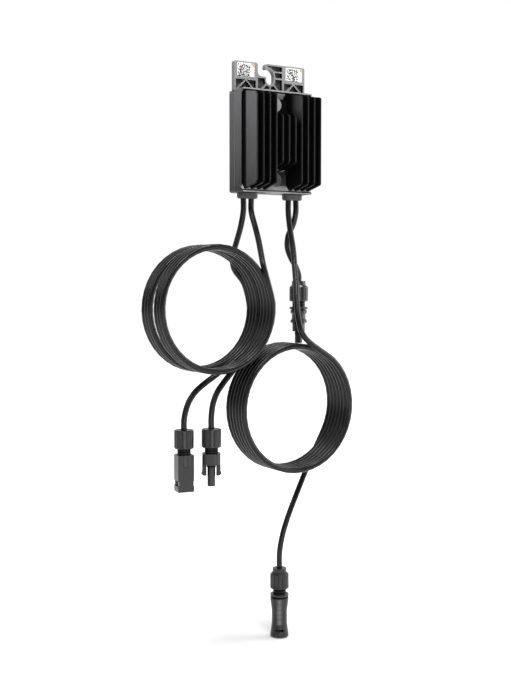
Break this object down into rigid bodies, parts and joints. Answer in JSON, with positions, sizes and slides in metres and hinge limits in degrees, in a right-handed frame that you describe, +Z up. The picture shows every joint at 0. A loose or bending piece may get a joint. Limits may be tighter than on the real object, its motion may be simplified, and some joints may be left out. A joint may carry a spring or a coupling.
{
  "type": "power optimizer",
  "caption": "Module power optimizer: finned casing on a ribbed hook bracket, coiled input and output cables, cable connectors.",
  "frame": {"origin": "centre of the bolt slot's round closed end, on the bracket's back face", "axes": "+Z up along the slot towards the hook, +Y out of the bracket's back face towards the rail, +X to the right seen from the finned front"},
  "size_m": [0.2188, 0.0582, 0.5793],
  "materials": {
    "cover_grey": "matte",
    "casing_grey": "matte",
    "rubber": "matte",
    "steel": "satin",
    "board": "satin",
    "component_black": "matte",
    "can_aluminium": "satin",
    "gap_pad": "matte",
    "terminal_brass": "satin",
    "cable_sheath": "satin",
    "label_white": "satin",
    "connector_plastic": "satin",
    "contact_metal": "satin"
  },
  "bodies": {
    "root": {"rear_cover": "cover_grey", "front_casing": "casing_grey", "perimeter_seal": "rubber", "input_cable_boot": "rubber", "output_cable_boot": "rubber", "input_shell_seal": "rubber", "input_probe_seal": "rubber", "output_probe_seal": "rubber", "output_shell_seal": "rubber", "input_probe_ring": "rubber", "output_probe_ring": "rubber", "cover_screws": "steel", "board_screws": "steel", "circuit_board": "board", "power_transistors": "component_black", "control_chips": "component_black", "power_inductors": "component_black", "bus_capacitors": "can_aluminium", "thermal_pad": "gap_pad", "wire_terminals": "terminal_brass", "wire_tails": "cable_sheath", "connector_cable_ends": "cable_sheath", "input_a_lead": "cable_sheath", "input_a_coil": "cable_sheath", "input_a_tail": "cable_sheath", "input_b_lead": "cable_sheath", "input_b_coil": "cable_sheath", "input_b_tail": "cable_sheath", "output_long_lead": "cable_sheath", "output_long_coil": "cable_sheath", "output_long_tail": "cable_sheath", "output_short_lead": "cable_sheath", "label_left": "label_white", "label_right": "label_white", "input_shell_nut": "connector_plastic", "input_shell_body": "connector_plastic", "input_probe_nut": "connector_plastic", "input_probe_body": "connector_plastic", "output_probe_nut": "connector_plastic", "output_probe_body": "connector_plastic", "output_shell_nut": "connector_plastic", "output_shell_body": "connector_plastic", "input_shell_pin": "contact_metal", "output_shell_pin": "contact_metal", "input_probe_socket": "contact_metal", "output_probe_socket": "contact_metal"}
  },
  "joints": []
}
